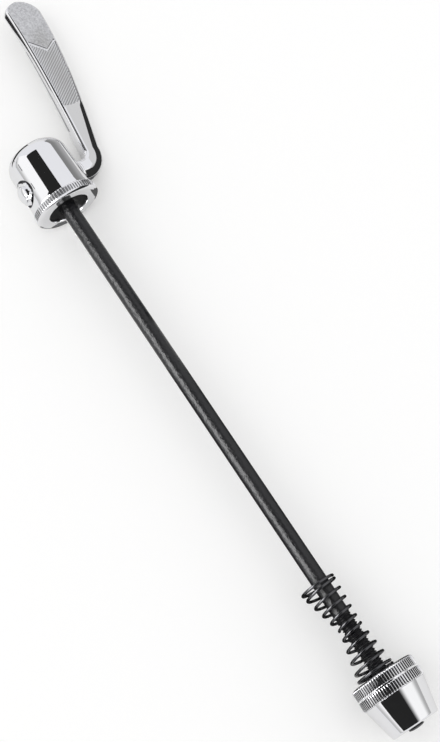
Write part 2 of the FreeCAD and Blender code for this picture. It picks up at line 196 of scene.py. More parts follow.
# Knurls: flutes, and edges as (way in from the band's end, drop below the crest, how deep the flutes are)
FLUTES = 74
FLUTE_DEPTH = 0.3
FLUTE_POINTS = 12
FLANK_START = 0.6
CREST_FALL = 0.15
FLANK_STEEPNESS = 3.4
RING_FRONT_EDGE = ((0.72, 0.1, 0), (0.78, 0.06, 0.6), (0.86, 0.01, 0.9), (0.95, 0, 1))
RING_REAR_EDGE = ((0.35, 0, 1), (0.2, 0.03, 0.9), (0.08, 0.12, 0.5), (0, 0.26, 0))
GRIP_FRONT_EDGE = ((0.01, 0.2, 0), (0.05, 0.07, 0.5), (0.14, 0, 1))
GRIP_REAR_EDGE = ((0.6, 0, 1), (0.35, 0.05, 0.8), (0.1, 0.22, 0.3), (0, 0.45, 0))
NUT_RING_REAR_EDGE = ((0, 0.2, 0), (0.05, 0.07, 0.5), (0.14, 0, 1))
NUT_RING_FRONT_EDGE = ((0.75, 0, 1), (0.6, 0.04, 0.9), (0.5, 0.14, 0.5), (0.4, 0.26, 0), (0.22, 0.42, 0),
                       (0.07, 0.62, 0), (0, 0.9, 0))

# Where shade is painted into the flutes, as (way in from the band's start, way in from its end)
RING_SHADE = (0.3, 0.85)
GRIP_SHADE = (0.2, 0.3)
NUT_RING_SHADE = (0.7, 0.2)

# Turned faces and edges. A mouth's edge is given as (way in from the face, way out from the mouth)
TOOL_MARKS = 8
TOOL_MARK_DEPTH = 0.025
TURNED_FACE_START = 0.5
TURNED_FACE_MARGIN = 1.35
BEAD_RADIUS = 2.4
BEAD_START_SLOPE = math.radians(44.0)
BEAD_END_SLOPE = math.radians(72.0)
BEAD_SINK = 0.03
BEAD_STEP = 0.06
BEAD_LOOPS = 10
RING_MOUTH_EDGE = ((0.35, 0), (0.12, 0.08), (0, 0.3))
NUT_MOUTH_EDGE = ((0, 0.3), (0.15, 0))
EDGE_ROUND = 0.2
THIN_EDGE_ROUND = 0.15
BUSH_BORE_ROUND = 0.25
INSERT_BORE_ROUND = 0.3
CAVITY_CHAMFER = 0.6
RIM_ROUND = 0.1
RIM_MIDDLE = 0.03
CROWN_LOOPS = 24
CROWN_ROUND_LOOPS = 36
SIDE_LOOPS = 12
GRIP_STEP = 0.5
CONE_END_ROUND = 0.75
CONE_END_RISE = 0.02
CONE_END_LAND = 1.6
CONE_ROUND_STEPS = 8

# Cap nut: its hexagon's turned corners and the groove round its dome, as shares of half its flats
HEX_SEAT_SHARE = 1.06
HEX_CORNER_SHARE = 1.13
HEX_TOP_SHARE = 0.95
GROOVE_OUTER_SHARE = 0.92
GROOVE_INNER_SHARE = 0.76
DOME_SHARE = 0.75
GROOVE_DEPTH = 0.2
HEX_SEAT_CHAMFER = 0.2
HEX_TOP_CHAMFER = 0.25
HEX_TOP_EDGE = 0.02
SHADE_MARGIN = 0.02
DOME_LOOPS = 13

# Rod: thread and domed tip
THREAD_PITCH = 0.8
THREAD_DEPTH = 0.36
THREAD_LENGTH = 38.0
THREAD_RUN_IN = 2.0
THREAD_RUN_OUT = (0.5, 0.2)
VEE_HEIGHT = 1.25
VEE_STEEPNESS = 3.0
LOOPS_PER_PITCH = 8
PLAIN_ROD_LOOPS = 40
ROD_SINK_SHARE = 0.6
TIP_DOME_LOOPS = 9
TIP_DOME_FULLNESS = 0.8

# Spring wire
WIRE_POINTS = 12
STATIONS_PER_TURN = 56

# Lever: corners and bevels of its arm
ARM_CRISP_CORNER = 1.3
CORNER_HEIGHT_SHARE = 0.98
ARM_BEVEL_SLOPE = math.radians(18.0)
ELBOW_BEVEL_SLOPE = math.radians(42.0)
ARM_BEVEL_WIDTH = 1.6
ROOT_BEVEL_WIDTH = 2.3
ELBOW_BEVEL_WIDTH = 2.9
BEVEL_FADE = 1.5

# Lever: points round a section, and how closely the sections follow each other
TOP_POINTS = 96
CORNER_POINTS = 18
SIDE_POINTS = 4
UNDER_POINTS = 14
ROOT_LOOPS = 5
ELBOW_LOOPS = 36
ARM_LOOPS = 47
ARM_STEP = 0.3
BLADE_STEP = 0.14
TIP_SPAN = 8.0
TIP_LOOPS = 60

# Lever: the ribbed panel of its face. Slopes are (start, end) of the way from one height to the other
PANEL_START = 20.2
PANEL_START_BOW = 0.8
PANEL_APEX = 40.4
APEX_SHARE = 0.54
PANEL_INNER_END = 45.4
PANEL_OUTER_END = 43.6
PANEL_MARGIN = 0.85
PANEL_MARGIN_SLOPE = (PANEL_MARGIN - 0.25, PANEL_MARGIN + 0.1)
PANEL_START_SLOPE = (-0.3, 0.6)
PANEL_STEP_SLOPE = (0.0, 0.3)
PANEL_DEPTH = 0.28
STEP_LINE_HEIGHT = 0.16
STEP_LINE_RISE = (0.62, 0.75)
STEP_LINE_FALL = (0.95, 1.08)
RIB_FIELD_SLOPE = (1.05, 1.35)
RIB_PITCH = 0.72
RIB_HEIGHT = 0.11
RIB_ALONG = 0.79
RIB_ACROSS = -0.61
RIB_VALLEY_SHARE = 0.42
GRAIN_MARGIN = PANEL_MARGIN - 0.2
FACE_FINISH_START = PANEL_START - 2.0

# Slots of the lever's four finishes, the last being painted shade in the ribs' valleys, and of the second
# finish on other pieces, which is painted shade
POLISHED, RIBBED, GRAINED, VALLEY_SHADE = range(4)
SHADED = 1


# Places and loops of points

def laid(point):
    """A point of the upright camshaft frame, rolled to where the skewer comes to rest."""
    x, y, z = point
    c, s = math.cos(LIE_ROLL), math.sin(LIE_ROLL)
    return Vector((x, c * y + s * z, c * z - s * y))


def upright(point):
    """The reverse of laid."""
    x, y, z = point
    c, s = math.cos(LIE_ROLL), math.sin(LIE_ROLL)
    return Vector((x, c * y - s * z, s * y + c * z))


def between(start, end, share):
    """The value at a share of the way from start to end."""
    return start + (end - start) * share


def smooth_step(value, start, end):
    """0 before start, 1 after end, smooth between."""
    t = min(max((value - start) / (end - start), 0.0), 1.0)
    return t * t * (3 - 2 * t)


def angles(count):
    """Angles of points spaced evenly round a circle."""
    return [TURN * k / count for k in range(count)]


def rod_loop(x, r, count=ROUND_POINTS):
    """A circle about the rod's axis."""
    return [Vector((x, r * math.cos(angle), r * math.sin(angle))) for angle in angles(count)]


def shaft_loop(y, r, count=SMALL_POINTS):
    """A circle about the camshaft's axis."""
    return [laid((CAM_X + r * math.cos(angle), y, r * math.sin(angle))) for angle in angles(count)]


def flute_cut(k):
    """How deep a point of the knurl lies, from 0 on a crest to 1 in a flute."""
    aside = abs((k % FLUTE_POINTS) / FLUTE_POINTS - 0.5) * 2
    if aside > FLANK_START:
        return CREST_FALL * ((1 - aside) / (1 - FLANK_START)) ** 2
    return min(CREST_FALL + (FLANK_START - aside) * FLANK_STEEPNESS, 1.0)


def fluted_loop(x, r, share):
    """A circle about the rod's axis with the knurl cut into it, as deep as share says."""
    points = []
    for k, angle in enumerate(angles(FLUTES * FLUTE_POINTS)):
        radius = r - FLUTE_DEPTH * share * flute_cut(k)
        points.append(Vector((x, radius * math.cos(angle), radius * math.sin(angle))))
    return points


def softened(corners, closed=True, steps=5):
    """An outline of (x, radius, round) corners with each corner rounded off."""
    points = []
    count = len(corners)
    for i, (x, r, size) in enumerate(corners):
        here = Vector((x, r))
        if size == 0 or (not closed and i in (0, count - 1)):
            points.append((x, r))
            continue
        before = Vector(corners[i - 1][:2]) - here
        after = Vector(corners[(i + 1) % count][:2]) - here
        half = before.angle(after) / 2
        reach = min(size / math.tan(half), before.length * SIDE_SHARE, after.length * SIDE_SHARE)
        start = here + before.normalized() * reach
        end = here + after.normalized() * reach
        middle = (before.normalized() + after.normalized()).normalized()
        centre = here + middle * (reach * math.tan(half) / math.sin(half))
        sweep = (start - centre).angle_signed(end - centre)
        for k in range(steps + 1):
            spoke = start - centre
            spoke.rotate(Matrix.Rotation(-sweep * k / steps, 2))
            points.append(tuple(centre + spoke))
    return points


# Skins drawn through loops

def edges_of(bm, ring):
    """The edges of a closed ring of vertices, in order."""
    return [bm.edges.get((v, ring[(i + 1) % len(ring)])) for i, v in enumerate(ring)]


def drawn_on(bm, ring):
    """The ring extruded once. Returns the new ring in the same order."""
    grown = bmesh.ops.extrude_edge_only(bm, edges=edges_of(bm, ring))["geom"]
    fresh = {v for v in grown if isinstance(v, bmesh.types.BMVert)}
    return [next(e.other_vert(v) for e in v.link_edges if e.other_vert(v) in fresh) for v in ring]


def swept(loops, bm=None, ends="capped"):
    """A skin drawn through loops of points by extruding a circle from one to the next."""
    bm = bm or bmesh.new()
    ring = first = bmesh.ops.create_circle(bm, segments=len(loops[0]), radius=1.0)["verts"]
    for i, loop in enumerate(loops):
        if i:
            ring = drawn_on(bm, ring)
        for v, p in zip(ring, loop):
            v.co = p
    if ends == "capped":
        for end in (first, ring):
            bmesh.ops.contextual_create(bm, geom=edges_of(bm, end))
    elif ends == "joined":
        bmesh.ops.bridge_loops(bm, edges=edges_of(bm, first) + edges_of(bm, ring))
    return bm


def plain_ring(loop, start, end, inner, outer, bore_round, edge_round):
    """A ring drawn with the given kind of loop, both edges at its end rounded."""
    corners = [(start, inner, 0), (end, inner, bore_round), (end, outer, edge_round), (start, outer, 0)]
    return swept([loop(place, r, SMALL_POINTS) for place, r in softened(corners)], ends="joined")


def linked(name, mesh):
    """A new object for a mesh, in the scene."""
    obj = bpy.data.objects.new(name, mesh)
    bpy.context.scene.collection.objects.link(obj)
    return obj


def meshed(bm, name):
    """The mesh of a bmesh that is done."""
    mesh = bpy.data.meshes.new(name)
    bm.to_mesh(mesh)
    bm.free()
    return mesh


def settled(bm, name, body, node, *finishes, sharp=32.0):
    """The finished piece: scaled to metres, smooth but for its sharp edges, riding on its body."""
    bmesh.ops.remove_doubles(bm, verts=bm.verts, dist=MERGE_DISTANCE)
    bmesh.ops.recalc_face_normals(bm, faces=bm.faces)
    bmesh.ops.scale(bm, vec=(MM, MM, MM), verts=bm.verts)
    for face in bm.faces:
        face.smooth = True
    mesh = meshed(bm, name)
    mesh.set_sharp_from_angle(angle=math.radians(sharp))
    for material in finishes:
        mesh.materials.append(material)
    obj = linked(name, mesh)
    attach(obj, body)
    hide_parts(node)
    return obj


# Finishes. Scales of noise are per metre
BROAD_WEAR_SCALE = 90.0
FINE_WEAR_SCALE = 900.0
WEAR_TINT = 0.9
WEAR_RUB = (-0.03, 0.05)
WEAR_HEIGHT = 0.1
NOISE_RANGE = (0.25, 0.75)


def new_material(name):
    """A new material, and the tree of its nodes."""
    material = bpy.data.materials.new(name)
    material.use_nodes = True
    return material, material.node_tree


def add(tree, kind, **settings):
    """A node with its plain settings made."""
    node = tree.nodes.new(kind)
    for key, value in settings.items():
        setattr(node, key, value)
    return node


def put(node, values):
    """Values for a node's inputs, by their names."""
    for key, value in values.items():
        node.inputs[key].default_value = value


def noise(tree, where, scale, detail, rough):
    """A noise texture on the given coordinates."""
    node = add(tree, "ShaderNodeTexNoise")
    put(node, {"Scale": scale, "Detail": detail, "Roughness": rough})
    tree.links.new(where, node.inputs["Vector"])
    return node.outputs["Fac"]


def ranged(tree, value, start, end, low, high, **settings):
    """A value that runs from low to high while the given one runs from start to end."""
    node = add(tree, "ShaderNodeMapRange", **settings)
    put(node, {"From Min": start, "From Max": end, "To Min": low, "To Max": high})
    tree.links.new(value, node.inputs["Value"])
    return node.outputs["Result"]


def worn_surface():
    """Shader group: the slight unevenness of a handled surface, as a shade, a roughness and a height."""
    group = bpy.data.node_groups.new("worn_surface", "ShaderNodeTree")
    join = group.links.new
    for way, third in (("INPUT", "Wear"), ("OUTPUT", "Height")):
        group.interface.new_socket("Colour", in_out=way, socket_type="NodeSocketColor")
        group.interface.new_socket("Roughness", in_out=way, socket_type="NodeSocketFloat")
        group.interface.new_socket(third, in_out=way, socket_type="NodeSocketFloat")
    source = add(group, "NodeGroupInput")
    drain = add(group, "NodeGroupOutput")
    where = add(group, "ShaderNodeTexCoord").outputs["Object"]
    broad = noise(group, where, BROAD_WEAR_SCALE, detail=4.0, rough=0.55)
    fine = noise(group, where, FINE_WEAR_SCALE, detail=3.0, rough=0.6)
    shade = add(group, "ShaderNodeMix", data_type="RGBA", blend_type="MULTIPLY")
    join(source.outputs["Wear"], shade.inputs["Factor"])
    join(source.outputs["Colour"], shade.inputs["A"])
    join(ranged(group, broad, 0.0, 1.0, WEAR_TINT, 1.0), shade.inputs["B"])
    join(shade.outputs["Result"], drain.inputs["Colour"])
    scaled = add(group, "ShaderNodeMath", operation="MULTIPLY")
    join(ranged(group, broad, *NOISE_RANGE, *WEAR_RUB), scaled.inputs[0])
    join(source.outputs["Wear"], scaled.inputs[1])
    rubbed = add(group, "ShaderNodeMath", operation="ADD")
    join(source.outputs["Roughness"], rubbed.inputs[0])
    join(scaled.outputs["Value"], rubbed.inputs[1])
    join(rubbed.outputs["Value"], drain.inputs["Roughness"])
    join(fine, drain.inputs["Height"])
    return group


WORN = worn_surface()


def relief(tree, height, strength, depth):
    """A bump node over a height, depth being in millimetres."""
    node = add(tree, "ShaderNodeBump")
    put(node, {"Strength": strength, "Distance": depth * MM})
    tree.links.new(height, node.inputs["Height"])
    return node


def finish(name, colour, roughness, metallic=1.0, wear=0.8, bump=0.1, grain=None, pitted=1.0, sheen=0.5):
    """A procedural finish built on the worn surface group.

    grain is (scale, height) of an added grain, and pitted how bright its pits are against the rest.
    """
    material, tree = new_material(name)
    join = tree.links.new
    shader = tree.nodes["Principled BSDF"]
    put(shader, {"Metallic": metallic, "Specular IOR Level": sheen})
    worn = add(tree, "ShaderNodeGroup", node_tree=WORN)
    put(worn, {"Colour": (*colour, 1.0), "Roughness": roughness, "Wear": wear})
    shade = worn.outputs["Colour"]
    normal = relief(tree, worn.outputs["Height"], bump, WEAR_HEIGHT).outputs["Normal"]
    if grain:
        scale, height = grain
        where = add(tree, "ShaderNodeTexCoord").outputs["Object"]
        grains = noise(tree, where, scale, detail=2.0, rough=0.6)
        pits = relief(tree, grains, 1.0, height)
        join(normal, pits.inputs["Normal"])
        normal = pits.outputs["Normal"]
        darkened = add(tree, "ShaderNodeMix", data_type="RGBA", blend_type="MULTIPLY")
        put(darkened, {"Factor": 1.0})
        join(shade, darkened.inputs["A"])
        join(ranged(tree, grains, *NOISE_RANGE, pitted, 1.0), darkened.inputs["B"])
        shade = darkened.outputs["Result"]
    join(shade, shader.inputs["Base Color"])
    join(worn.outputs["Roughness"], shader.inputs["Roughness"])
    join(normal, shader.inputs["Normal"])
    return material


CHROME = finish("polished_chrome", (0.90, 0.90, 0.915), roughness=0.03, wear=0.4, bump=0.004)
RIBBED_CHROME = finish("ribbed_chrome", (0.76, 0.76, 0.77), roughness=0.24, wear=0.7)
GRAINED_CHROME = finish("grained_chrome", (0.79, 0.79, 0.80), roughness=0.27, wear=0.9, bump=0.2,
                        grain=(1500.0, 0.1), pitted=0.6)
# Painted shade for the valleys between the lever's ribs
RIB_VALLEY_SHADE = finish("rib_valley_painted_shade", (0.38, 0.38, 0.39), roughness=0.3, wear=0.7)
# Painted shade, near black, for the flute bottoms of the nut's knurls, the floors of the spot faces and the
# groove round the cap nut's dome
PAINTED_SHADE = finish("painted_shade_chrome", (0.07, 0.07, 0.073), roughness=0.45)
# Painted shade, mid grey, for the flute bottoms of the housing's clamp ring
RING_FLUTE_SHADE = finish("ring_flute_painted_shade", (0.34, 0.34, 0.345), roughness=0.3)
BLACK_ROD = finish("black_rod", (0.008, 0.008, 0.0095), roughness=0.3, metallic=0.0, wear=1.0, bump=0.2,
                   grain=(1200.0, 0.22))
BLACK_WIRE = finish("black_wire", (0.1, 0.1, 0.105), roughness=0.2, bump=0.08)
BLACK_NYLON = finish("black_nylon", (0.004, 0.004, 0.0045), roughness=0.55, metallic=0.0, bump=0.2, sheen=0.1)
WHITE_NYLON = finish("white_nylon", (0.62, 0.62, 0.6), roughness=0.5, metallic=0.0)


# Housing end

def housing_skin():
    """Closed cup with its rounded crown, cavity and spigot, before the cross bores."""
    seat = -RING_WIDTH - SEAT_FIT
    lip = -RING_LIP - SEAT_FIT
    mouth = HOUSING_MOUTH_RADIUS
    sphere = (CROWN_RADIUS ** 2 + CROWN_RISE ** 2) / (2 * CROWN_RISE)
    sphere_x = sphere - HOUSING_LENGTH
    round_r = CROWN_RADIUS - CROWN_ROUND
    round_x = sphere_x - math.sqrt((sphere - CROWN_ROUND) ** 2 - round_r ** 2)
    meet = math.atan2(round_r, sphere_x - round_x)
    profile = []
    for k in range(1, CROWN_LOOPS + 1):
        angle = meet * k / CROWN_LOOPS
        profile.append((sphere_x - sphere * math.cos(angle), sphere * math.sin(angle)))
    for k in range(1, CROWN_ROUND_LOOPS + 1):
        angle = between(meet, math.pi / 2, k / CROWN_ROUND_LOOPS)
        profile.append((round_x - CROWN_ROUND * math.cos(angle), round_r + CROWN_ROUND * math.sin(angle)))
    for k in range(1, SIDE_LOOPS + 1):
        share = k / SIDE_LOOPS
        profile.append((between(round_x, seat - RIM_ROUND, share), between(CROWN_RADIUS, mouth, share)))
    profile += [(seat - RIM_MIDDLE, mouth - RIM_MIDDLE), (seat, mouth - RIM_ROUND), (seat, SPIGOT_RADIUS),
                (lip, SPIGOT_RADIUS), (lip, CAVITY_RADIUS), (CAVITY_END_X + CAVITY_CHAMFER, CAVITY_RADIUS),
                (CAVITY_END_X, CAVITY_RADIUS - CAVITY_CHAMFER), (CAVITY_END_X, CAVITY_CENTRE_RADIUS)]
    return swept([rod_loop(x, r) for x, r in profile])


def cross_cylinder(name, start, end, radius):
    """A plain bar along the camshaft, to cut with."""
    bm = bmesh.new()
    bmesh.ops.create_cone(bm, cap_ends=True, segments=CUTTER_POINTS, radius1=radius, radius2=radius,
                          depth=end - start)
    bmesh.ops.rotate(bm, verts=bm.verts, matrix=Matrix.Rotation(math.pi / 2, 3, "X"))
    bmesh.ops.translate(bm, verts=bm.verts, vec=(CAM_X, (start + end) / 2, 0))
    for v in bm.verts:
        v.co = laid(v.co) * MM
    return linked(name, meshed(bm, name))


def bored(obj, cutters):
    """The piece with the cutters' shapes taken out of its mesh, and the cutters gone."""
    for cutter in cutters:
        cut = obj.modifiers.new(cutter.name, "BOOLEAN")
        cut.operation = "DIFFERENCE"
        cut.solver = "EXACT"
        cut.object = cutter
    bpy.context.view_layer.update()
    ready = obj.evaluated_get(bpy.context.evaluated_depsgraph_get())
    mesh = bpy.data.meshes.new_from_object(ready)
    mesh.name = obj.name + "_bored"
    obj.modifiers.clear()
    obj.data = mesh
    mesh.set_sharp_from_angle(angle=math.radians(BORED_SHARP_ANGLE))
    for cutter in cutters:
        bpy.data.objects.remove(cutter)


def cam_housing():
    """The cup with its two spot faces and the bores that carry the camshaft."""
    obj = settled(housing_skin(), "cam_housing_fine", "housing", "cam_housing", CHROME)
    bored(obj, [
        cross_cylinder("lever_face", SPOT_FACE_Y, FACE_CUTTER_END, SPOT_FACE_RADIUS),
        cross_cylinder("nut_face", -FACE_CUTTER_END, -SPOT_FACE_Y, SPOT_FACE_RADIUS),
        cross_cylinder("journal_bore", 0.0, BORE_CUTTER_END, JOURNAL_RADIUS + RUNNING_FIT),
        cross_cylinder("end_bore", -BORE_CUTTER_END, 0.0, END_JOURNAL_RADIUS + RUNNING_FIT),
    ])
    # The floors of both spot faces get painted shade
    obj.data.materials.append(PAINTED_SHADE)
    for face in obj.data.polygons:
        if abs(abs(upright(face.center / MM).y) - SPOT_FACE_Y) < SEAT_FIT:
            face.material_index = SHADED


def band_edge(x, heading, crest, edge):
    """An edge of a knurled band as (x, radius, knurl share), heading from the band's end into it."""
    return [(x + heading * inward, crest - drop, share) for inward, drop, share in edge]


def knurled(outline):
    """A ring turned round a closed outline of (x, radius, knurl share) corners."""
    return swept([fluted_loop(x, r, share) for x, r, share in outline], ends="joined")


def shade_flutes(bm, crest, start, end, margins):
    """The bottoms of a band's flutes get the darker finish that paints shade into them."""
    bottom = crest - FLUTE_DEPTH / 2
    for face in bm.faces:
        place = face.calc_center_median()
        if start + margins[0] < place.x < end - margins[1] and math.hypot(place.y, place.z) < bottom:
            face.material_index = SHADED


def turned_face(inner, outer):
    """The fine rings that the turning tool leaves on the clamp face, as (x, radius, knurl share)."""
    count = 2 * TOOL_MARKS
    return [(-TOOL_MARK_DEPTH * (k % 2), between(inner, outer, k / count), 0) for k in range(count + 1)]


def bead(crest):
    """The broad round between clamp face and knurl, as (x, radius, knurl share) from the face outwards."""
    points = []
    for k in range(BEAD_LOOPS + 1):
        slope = between(BEAD_END_SLOPE, BEAD_START_SLOPE, k / BEAD_LOOPS)
        x = BEAD_RADIUS * (math.sin(slope) - math.sin(BEAD_END_SLOPE)) - BEAD_SINK
        rise = BEAD_RADIUS * (math.cos(slope) - math.cos(BEAD_START_SLOPE))
        points.append((x, crest - BEAD_STEP + rise, 0))
    return points


def clamp_ring():
    """Knurled ring on the housing's mouth, with a turned bead round its face."""
    seat = SPIGOT_RADIUS + SEAT_FIT
    mouth = CAVITY_RADIUS
    crest = RING_RADIUS
    bm = knurled([
        (-RING_WIDTH, seat, 0), (-RING_LIP, seat, 0), (-RING_LIP, mouth, 0),
        *((-inward, mouth + out, 0) for inward, out in RING_MOUTH_EDGE),
        *turned_face(mouth + TURNED_FACE_START, crest - TURNED_FACE_MARGIN), *bead(crest),
        *band_edge(0, -1, crest, RING_FRONT_EDGE), *band_edge(-RING_WIDTH, 1, crest, RING_REAR_EDGE)])
    shade_flutes(bm, crest, -RING_WIDTH, 0, RING_SHADE)
    obj = settled(bm, "housing_clamp_ring_fine", "housing", "housing_clamp_ring", CHROME, RING_FLUTE_SHADE,
                  sharp=38.0)


def guide_bush():
    """Nylon bush in the housing's mouth."""
    front = -BUSH_RECESS
    bm = plain_ring(rod_loop, front - BUSH_LENGTH, front, ROD_RADIUS + RUNNING_FIT, CAVITY_RADIUS - SEAT_FIT,
                    BUSH_BORE_ROUND, EDGE_ROUND)
    obj = settled(bm, "rod_guide_bush_fine", "housing", "rod_guide_bush", BLACK_NYLON)


# Washer and cap nut, turned about the camshaft's axis

def lever_washer():
    """Thin washer between the lever's shoulder and the housing."""
    start = SPOT_FACE_Y + RUNNING_FIT
    bm = plain_ring(shaft_loop, start, start + WASHER_THICKNESS, JOURNAL_RADIUS + RUNNING_FIT, WASHER_RADIUS,
                    0, THIN_EDGE_ROUND)
    obj = settled(bm, "lever_washer_fine", "lever", "lever_washer", CHROME)


def hex_loop(y, flat, limit):
    """A hexagon across the camshaft, with half its flats given and its corners turned down to a limit."""
    points = []
    for angle in angles(SMALL_POINTS):
        aside = (angle + math.pi / 6) % (math.pi / 3) - math.pi / 6
        r = min(flat / math.cos(aside), limit)
        points.append(laid((CAM_X + r * math.sin(angle), y, r * math.cos(angle))))
    return points


def cap_nut():
    """Low domed nut: a hexagon with turned corners under a round dome, hollow for the stub."""
    seat = -SPOT_FACE_Y - RUNNING_FIT
    deep = seat - STUB_LENGTH - FREE_GAP
    inner = STUB_RADIUS + SEAT_FIT
    flat = CAP_NUT_FLATS / 2
    top = seat - CAP_NUT_HEX_HEIGHT
    groove = top + GROOVE_DEPTH
    sphere = (flat ** 2 + CAP_NUT_DOME_HEIGHT ** 2) / (2 * CAP_NUT_DOME_HEIGHT)
    loops = [shaft_loop(deep, CENTRE_RADIUS), shaft_loop(deep, inner), shaft_loop(seat, inner)]
    hexagon = ((seat, HEX_SEAT_SHARE), (seat - HEX_SEAT_CHAMFER, HEX_CORNER_SHARE),
               (top + HEX_TOP_CHAMFER, HEX_CORNER_SHARE), (top + HEX_TOP_EDGE, 1.0), (top, HEX_TOP_SHARE))
    loops += [hex_loop(y, flat, flat * share) for y, share in hexagon]
    loops += [shaft_loop(groove, flat * GROOVE_OUTER_SHARE), shaft_loop(groove, flat * GROOVE_INNER_SHARE)]
    for k in range(DOME_LOOPS):
        r = flat * DOME_SHARE * math.cos(k / DOME_LOOPS * math.pi / 2)
        loops.append(shaft_loop(top - CAP_NUT_DOME_HEIGHT + sphere - math.sqrt(sphere ** 2 - r ** 2), r))
    bm = swept(loops)
    # The groove round the dome gets painted shade
    for face in bm.faces:
        place = upright(face.calc_center_median())
        share = math.hypot(place.x - CAM_X, place.z) / flat
        sunk = top + GROOVE_DEPTH / 2 < place.y < groove + SHADE_MARGIN
        if sunk and GROOVE_INNER_SHARE - SHADE_MARGIN < share < GROOVE_OUTER_SHARE + SHADE_MARGIN:
            face.material_index = SHADED
    obj = settled(bm, "cap_nut_fine", "lever", "cap_nut", CHROME, PAINTED_SHADE, sharp=28.0)


# Lever

def nose_circle():
    """The arc that rounds the tip, as (distance of its centre from the tip, offset across, radius)."""
    half = BLADE_WIDTH / 2
    a = Vector((TIP_INNER_ROUND, -half))
    b = Vector((0.0, -TIP_APEX_OFFSET))
    c = Vector((TIP_OUTER_ROUND, half))
    aa, bb, cc = a.length_squared, b.length_squared, c.length_squared
    d = 2 * (a.x * (b.y - c.y) + b.x * (c.y - a.y) + c.x * (a.y - b.y))
    x = (aa * (b.y - c.y) + bb * (c.y - a.y) + cc * (a.y - b.y)) / d
    y = (aa * (c.x - b.x) + bb * (a.x - c.x) + cc * (b.x - a.x)) / d
    centre = Vector((x, y))
    return centre.x, centre.y, (b - centre).length


NOSE = nose_circle()


def corner_circle():
    """The round between that arc and the blade's inner edge: its centre, and where it meets the arc."""
    depth, across, radius = NOSE
    run = radius - TIP_CORNER_ROUND
    corner_across = TIP_CORNER_ROUND - BLADE_WIDTH / 2
    corner_depth = depth - math.sqrt(run ** 2 - (corner_across - across) ** 2)
    return corner_depth, corner_across, depth + (corner_depth - depth) * radius / run


TIP_CORNER = corner_circle()


def blade_ease(reach):
    """How far the blade's taper has come at a distance from the camshaft, from 0 to 1."""
    share = (reach - ELBOW_RADIUS) / (LEVER_REACH - ELBOW_RADIUS)
    return math.sin(min(share, 1.0) * math.pi / 2)


def blade_sides(reach):
    """Offsets of the blade's inner and outer edges in plan."""
    ease = blade_ease(reach)
    middle = ARM_Y + BLADE_FLARE * ease
    half = between(ARM_WIDTH, BLADE_WIDTH, ease) / 2
    inner, outer = middle - half, middle + half
    from_tip = LEVER_REACH - reach
    depth, across, radius = NOSE
    if from_tip < TIP_OUTER_ROUND:
        bow = math.sqrt(max(radius ** 2 - (from_tip - depth) ** 2, 0.0))
        centre = ARM_Y + BLADE_FLARE + across
        outer = min(outer, centre + bow)
        corner_depth, corner_across, meet = TIP_CORNER
        if from_tip < meet:
            inner = centre - bow
        elif from_tip < corner_depth:
            bow = math.sqrt(TIP_CORNER_ROUND ** 2 - (from_tip - corner_depth) ** 2)
            inner = ARM_Y + BLADE_FLARE + corner_across - bow
    return inner, outer


def panel_end(share):
    """How far out the pointed step lies, for a share across the blade from its inner edge."""
    if share < APEX_SHARE:
        return between(PANEL_APEX, PANEL_INNER_END, (APEX_SHARE - share) / APEX_SHARE)
    return between(PANEL_APEX, PANEL_OUTER_END, (share - APEX_SHARE) / (1 - APEX_SHARE))


def face_relief(reach, y, inner, outer):
    """Height of the blade's face at a point, and which finish it has."""
    share = (y - inner) / max(outer - inner, 0.1)
    margin = min(y - inner, outer - y)
    step = panel_end(share) - reach
    start = reach - PANEL_START - PANEL_START_BOW * (abs(share - 0.5) * 2) ** 2
    sunk = smooth_step(margin, *PANEL_MARGIN_SLOPE) * smooth_step(start, *PANEL_START_SLOPE)
    sunk *= smooth_step(step, *PANEL_STEP_SLOPE)
    line = smooth_step(step, *STEP_LINE_RISE) * (1 - smooth_step(step, *STEP_LINE_FALL))
    field = sunk * smooth_step(step, *RIB_FIELD_SLOPE)
    wave = (reach * RIB_ALONG + y * RIB_ACROSS) / RIB_PITCH
    ridge = 1 - abs((wave % 1.0) * 2 - 1)
    height = -PANEL_DEPTH * sunk + STEP_LINE_HEIGHT * line * sunk + RIB_HEIGHT * ridge * field
    # Faces low between the ribs get the valleys' painted shade
    if field > 0.5:
        return height, RIBBED if ridge > RIB_VALLEY_SHARE else VALLEY_SHADE
    if step <= 0.0 and margin > GRAIN_MARGIN:
        return height, GRAINED
    return height, POLISHED


def section(inner, outer, thickness, corner, crisp, bevel, slope=ARM_BEVEL_SLOPE):
    """Points (across, up) round a rounded rectangle with a crisp inner top corner and a bevelled outer one.

    The first TOP_POINTS run along its top face. bevel is the width of the flat that takes the place of a
    part of the outer top corner, at the given slope.
    """
    half = thickness / 2
    corner = min(corner, (outer - inner) * SIDE_SHARE, half * CORNER_HEIGHT_SHARE)
    crisp = min(crisp, corner)
    points = []
    for k in range(TOP_POINTS):
        points.append((between(inner + crisp, outer - corner, k / (TOP_POINTS - 1)), half))
    arcs = (
        (outer - corner, half - corner, corner, 90, SIDE_POINTS, (outer, corner - half)),
        (outer - corner, corner - half, corner, 0, UNDER_POINTS, (inner + corner, -half)),
        (inner + corner, corner - half, corner, -90, SIDE_POINTS, (inner, half - crisp)),
        (inner + crisp, half - crisp, crisp, 180, 0, None),
    )
    for w, h, radius, begin, fill, goal in arcs:
        steps = CORNER_POINTS if fill else CORNER_POINTS + 1
        for k in range(1, CORNER_POINTS + 1):
            angle = math.radians(begin - 90 * k / steps)
            points.append((w + radius * math.cos(angle), h + radius * math.sin(angle)))
        last = Vector(points[-1])
        for k in range(1, fill + 1):
            points.append(tuple(last.lerp(Vector(goal), k / (fill + 1))))
    drop = corner * (1 - math.cos(slope)) + bevel ** 2 / (8 * corner * math.cos(slope))
    start = outer - corner + corner * math.sin(slope) - drop / math.tan(slope)
    return [(w, min(h, half - math.tan(slope) * (w - start)) if w > start else h) for w, h in points]


